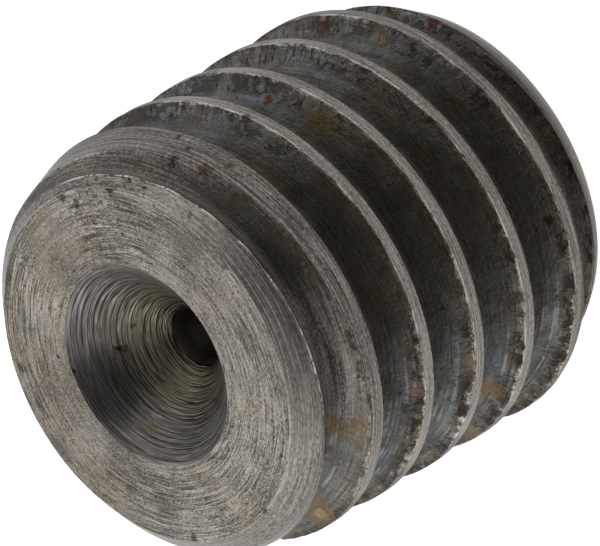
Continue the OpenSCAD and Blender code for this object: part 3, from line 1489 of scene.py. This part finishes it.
    def harm(self, at: Dressing, way: Wire, sunk: Wire, worn: Wire) -> tuple[Wire, Wire]:
        """The damage beside the edges: crust, marks like a comb's, cracks, and the chamfer's chips.

        Args:
            at: The material in the making.
            way: The way along the groove.
            sunk: Depth below the blank.
            worn: How worn the edges are.

        Returns:
            The damage, and the tan flecks among it.
        """
        g, (x, _, z) = at.graph, at.axes
        reach = g.scaled(g.ramp(x, 0.4, 1.4), -0.09, sunk)
        near = g.product(g.ramp(sunk, 0.0, 0.02), g.ramp(reach, 0.08, 0.22, 1.0, 0.0))
        band = g.product(g.ramp(sunk, -0.14, 0.0), g.ramp(sunk, 0.12, 0.34, 1.0, 0.0))
        crust = g.product(
            near,
            g.clouds(at.point, 0.46, 0.56, 6.0, 4.0, 0.66),
            g.clouds(at.point, 0.4, 0.55, 1.7),
            worn,
            g.ramp(z, *self.below_first, 1.0, 0.3),
        )
        comb = g.product(
            near,
            g.clouds(g.stretched(way, 6.0, 11.0), 0.54, 0.6, 1.0, 4.0, 0.7),
            g.clouds(at.point, 0.44, 0.54, 1.3),
            g.ramp(x, 0.2, 1.2),
            g.ramp(z, 5.3, 5.0),
        )
        cracks = g.product(
            band,
            at.cracks(g.stretched(way, 1.0, 1.6), 7.5, width=0.022, spread=0.44),
            g.most(g.ramp(x, 0.0, 1.6, 0.2, 1.0), g.ramp(x, -0.8, -1.8, 0.0, 0.8)),
            g.ramp(z, *self.below_first, 1.0, 0.25),
        )
        chips = g.noise(g.stretched(at.way, 3.0, 8.0), 1.0, 4.0, 0.7)
        chips = g.product(
            g.ramp(g.total(chips, g.ramp(x, -0.6, -1.8, 0.0, 0.07)), 0.54, 0.6),
            g.ramp(sunk, -0.08, -0.03),
            g.ramp(sunk, 0.0, 0.03, 0.85, 0.0),
            g.ramp(z, *self.chamfer_edge),
        )
        fleck = g.product(
            band,
            g.clouds(g.stretched(way, 12.0, 7.0), 0.57, 0.64, 1.0, 3.0, 0.6),
            g.ramp(z, 4.6, 4.3),
            g.ramp(x, 0.2, 1.0, 0.0, 0.55),
        )
        return g.most(crust, comb, cracks, chips), fleck

    def glints(self, at: Dressing, way: Wire, sunk: Wire) -> Wire:
        """Painted highlights: broken bright lines on the crests' front edges, and on the chamfer's outer
        edge towards -y, which faces the camera.

        Args:
            at: The material in the making.
            way: The way along the crest.
            sunk: Depth below the blank.

        Returns:
            The share of painted highlight.
        """
        g, (x, y, z) = at.graph, at.axes
        front = g.product(
            g.ramp(g.parts(way)[0], -0.432, -0.424),
            g.ramp(sunk, 0.005, 0.02, 1.0, 0.0),
            g.clouds(way, 0.45, 0.62, 1.6, 4.0, 0.65, most=0.55),
            g.ramp(z, 4.8, 4.65),
            g.ramp(z, 0.7, 0.9),
        )
        rim = g.product(
            g.ramp(sunk, -0.045, -0.03),
            g.ramp(sunk, 0.004, 0.012, 1.0, 0.0),
            g.clouds(g.stretched(at.way, 3.0, 3.0), 0.32, 0.54, 1.0, 4.0, 0.7, most=0.75),
            g.ramp(y, 0.1, -0.6),
            g.ramp(x, -1.4, -0.2, 0.8, 1.0),
            g.ramp(z, *self.chamfer_edge),
        )
        return g.most(front, rim)

    def material(self, effects: Effects) -> bpy.types.Material:
        """Builds the material: the groove, then the bare steel of the lands, then the damage.

        Args:
            effects: The shared groups.

        Returns:
            The finished material.
        """
        at = self.begin(effects, along_axis=1.0)
        g, z = at.graph, at.axes[2]
        sunk = g.node("ShaderNodeAttribute", attribute_name="sunk").outputs["Fac"]
        along_groove, along_crest = self.helix(at)
        tone, wide = self.land_tone(at, along_crest)
        flank, relief = self.groove(at, along_groove, sunk)
        worn = self.worn(at)

        rough = g.noise(g.stretched(along_crest, 1.0, 0.7), 9.0, 3.0, 0.6)
        torn = g.product(g.total(rough, -0.46), g.scaled(worn, 0.34, 0.03))
        bare = g.ramp(g.math("SUBTRACT", sunk, torn), 0.012, 0.03, 1.0, 0.0)
        land = g.mix(tone, self.dark, self.colour)
        land = g.mix(g.ramp(sunk, 0.01, 0.07, 0.0, 0.5), land, self.dark)
        rubbed, lift = self.rubbed(at, along_groove, sunk)
        rubbed_steel = g.mix(g.total(tone, lift), self.dark, self.colour)
        colour = g.mix(bare, g.mix(rubbed, flank, rubbed_steel), land)

        harm, fleck = self.harm(at, along_groove, sunk, worn)
        colour = g.mix(g.product(harm, self.crust_share), g.mix(fleck, colour, self.fleck), self.crust)
        # Painted highlights along the crests' front edges and the chamfer's outer edge, broken where the
        # edges are harmed.
        whole = g.math("SUBTRACT", 1.0, harm)
        colour = g.mix(g.product(self.glints(at, along_crest, sunk), whole), colour, self.glint)
        specks = at.pits(g.stretched(along_crest, 1.0, 0.5), 10.0, size=0.2, spread=0.52)
        specks = g.product(specks, g.ramp(z, 5.8, 5.85, 1.0, 0.5))
        colour = g.mix(g.product(specks, self.rust_share), colour, self.rust)
        roughness = g.ramp(bare, 0.0, 1.0, self.groove_roughness, self.land_roughness)
        g.put(at.shader.inputs["Roughness"], roughness)
        height = g.mix(bare, relief, g.scaled(wide, 0.6))
        height = g.scaled(g.most(harm, g.product(specks, 0.3)), -1.3, height)
        return self.finish(at, along_groove, colour, height)


@dataclass(frozen=True)
class SocketSteel(Steel):
    """The socket end: turned lines on its face, its mouth and its drill point, broached walls."""

    mouth: float = 1.875
    deep: float = 2.5
    rust_share: float = 0.85

    def material(self, effects: Effects) -> bpy.types.Material:
        """Builds the material. The walls lie between the mouth's cone and the drill point.

        Args:
            effects: The shared groups.

        Returns:
            The finished material.
        """
        at = self.begin(effects)
        g, z = at.graph, at.axes[2]
        lines = at.grain(at.way, fineness=46.0, length=0.6, seed=40.0)
        upright = g.combine("MULTIPLY", at.point, (22.0, 22.0, 1.2)).outputs[0]
        broach = g.clouds(upright, 0.35, 0.65, most=0.6)
        walls = g.product(
            g.ramp(g.total(at.radius, z), self.mouth + 0.02, self.mouth + 0.05),
            g.ramp(z, 0.02, 0.06),
            g.ramp(z, self.deep - 0.01, self.deep - 0.04),
        )
        tone = g.mix(walls, g.scaled(lines["Fine"], 0.4, g.scaled(lines["Wide"], 0.3, 0.12)), broach)
        specks = at.pits(at.point, 11.0, size=0.12, spread=0.5)
        colour = g.mix(g.product(specks, self.rust_share), g.mix(tone, self.dark, self.colour), self.rust)
        return self.finish(at, at.way, colour, g.math("SUBTRACT", tone, specks))


@dataclass
class Studio:
    """The pale floor, the soft lamp, the world and the camera.

    Sizes are in millimetres, but the floor's half side is in metres. The aim is a height on the
    screw's axis, moved a little right and up in the picture.
    """

    aim_height: float = 3.05
    aim_right: float = -0.009
    aim_up: float = 0.0385
    frame_width: float = 7.833
    elevation: float = 40.45
    roll: float = 30.16
    lens: float = 1200.0
    sensor: float = 36.0
    floor_half: float = 0.4
    floor_glow: float = 0.35
    floor_white: float = 0.47
    lamp_distance: float = 60.0
    overhead: Point = (0.0, -0.5, 0.866)
    overhead_level: float = 0.12

    def axes(self) -> tuple[Vector, Vector, Vector]:
        """The directions of the picture, which is rolled.

        Returns:
            Its right, its up, and the way back to the camera.
        """
        e, a = math.radians(self.elevation), math.radians(self.roll)
        side = Vector((1.0, 0.0, 0.0))
        rise = Vector((0.0, math.sin(e), math.cos(e)))
        back = Vector((0.0, -math.cos(e), math.sin(e)))
        right = -math.sin(a) * side - math.cos(a) * rise
        up = math.cos(a) * side - math.sin(a) * rise
        return right, up, back

    def camera(self) -> bpy.types.Object:
        """Places the camera with a long lens.

        Returns:
            The camera.
        """
        right, up, back = self.axes()
        data = bpy.data.cameras.new("camera")
        data.lens, data.sensor_width = self.lens, self.sensor
        data.clip_start, data.clip_end = 0.01, 10.0
        aim = Vector((0.0, 0.0, self.aim_height)) + right * self.aim_right + up * self.aim_up
        place = (aim + back * (self.frame_width * self.lens / self.sensor)) * MM
        camera = bpy.data.objects.new("camera", data)
        camera.matrix_world = Matrix.Translation(place) @ Matrix((right, up, back)).transposed().to_4x4()
        bpy.context.scene.collection.objects.link(camera)
        bpy.context.scene.camera = camera
        return camera

    def floor(self) -> bpy.types.Object:
        """Lays the pale floor, which the camera and the steel's reflections see as lit.

        Returns:
            The floor, which stays out of the part.
        """
        s = self.floor_half
        mesh = bpy.data.meshes.new("floor")
        mesh.from_pydata([(-s, -s, 0), (s, -s, 0), (s, s, 0), (-s, s, 0)], [], [(0, 1, 2, 3)])
        piece = bpy.data.objects.new("floor", mesh)
        bpy.context.scene.collection.objects.link(piece)
        material = bpy.data.materials.new("pale_floor")
        material.use_nodes = True
        g = Graph(material.node_tree)
        shader = material.node_tree.nodes["Principled BSDF"]
        shader.inputs["Base Color"].default_value = (0.9, 0.9, 0.9, 1.0)
        shader.inputs["Roughness"].default_value = 0.9
        shader.inputs["Emission Color"].default_value = (1.0, 1.0, 1.0, 1.0)
        path = g.node("ShaderNodeLightPath")
        camera, glossy = path.outputs["Is Camera Ray"], path.outputs["Is Glossy Ray"]
        mirrored = g.product(g.most(camera, glossy), self.floor_glow)
        glow = g.scaled(camera, self.floor_white, mirrored)
        g.put(shader.inputs["Emission Strength"], glow)
        mesh.materials.append(material)
        return piece

    def light(self, name: str, toward: Point, size: float, strength: float) -> None:
        """Hangs one soft square lamp that faces the screw.

        Args:
            name: The lamp's name.
            toward: Direction from the screw to the lamp.
            size: Side of the lamp, in millimetres.
            strength: Brightness of its surface.
        """
        way = Vector(toward).normalized()
        data = bpy.data.lights.new(name, "AREA")
        data.size = size * MM
        data.energy = strength * math.pi * (size * MM) ** 2
        lamp = bpy.data.objects.new(name, data)
        lamp.location = way * self.lamp_distance * MM + Vector((0.0, 0.0, self.aim_height * MM))
        lamp.rotation_euler = way.to_track_quat("Z", "Y").to_euler()
        bpy.context.scene.collection.objects.link(lamp)

    def world(self) -> None:
        """Lights the room evenly from the sides, and less from overhead."""
        world = bpy.data.worlds.new("studio")
        bpy.context.scene.world = world
        world.use_nodes = True
        g = Graph(world.node_tree)
        way = g.node("ShaderNodeTexCoord").outputs["Generated"]
        near = g.combine("DOT_PRODUCT", way, self.overhead).outputs["Value"]
        level = g.ramp(near, 0.41, 0.996, 1.0, self.overhead_level)
        background = world.node_tree.nodes["Background"]
        background.inputs["Color"].default_value = (1.0, 1.0, 1.0, 1.0)
        g.put(background.inputs["Strength"], level)

    def build(self) -> None:
        """Sets up the world, the lamp, the floor and the camera."""
        bpy.context.scene.view_settings.view_transform = "Standard"
        self.world()
        self.light("side_softbox", (-0.65, 0.39, 0.65), 30.0, 1.2)
        self.floor()
        self.camera()


def main() -> None:
    """Builds the screw's skin and the studio."""
    logging.basicConfig(level=logging.INFO, format="%(message)s")
    body = RestrictorBody()
    skin = body.build()
    effects = Effects()
    marks = Marks()
    bright, worn = tint(196, 190, 180), tint(84, 80, 74)
    land, land_dark = tint(180, 174, 165), tint(76, 72, 67)
    cup, cup_dark = tint(132, 129, 125), tint(44, 42, 40)
    finishes = {
        Zone.THREAD: ThreadSteel("thread_steel", land, land_dark, stains=marks.thread()),
        Zone.FACE: TurnedFace("face_steel", bright, worn, stains=marks.face()),
        Zone.CUP: TurnedCup("cup_steel", cup, cup_dark, depth=0.012, stains=marks.cup()),
        Zone.SOCKET: SocketSteel("socket_steel", bright, worn),
    }
    for zone in Zone:
        skin.data.materials.append(finishes[zone].material(effects))
    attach(skin, BODY)
    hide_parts(NODE)
    log.info("%s: %d triangles", skin.name, len(skin.data.polygons))
    Studio().build()


if __name__ == "__main__":
    main()
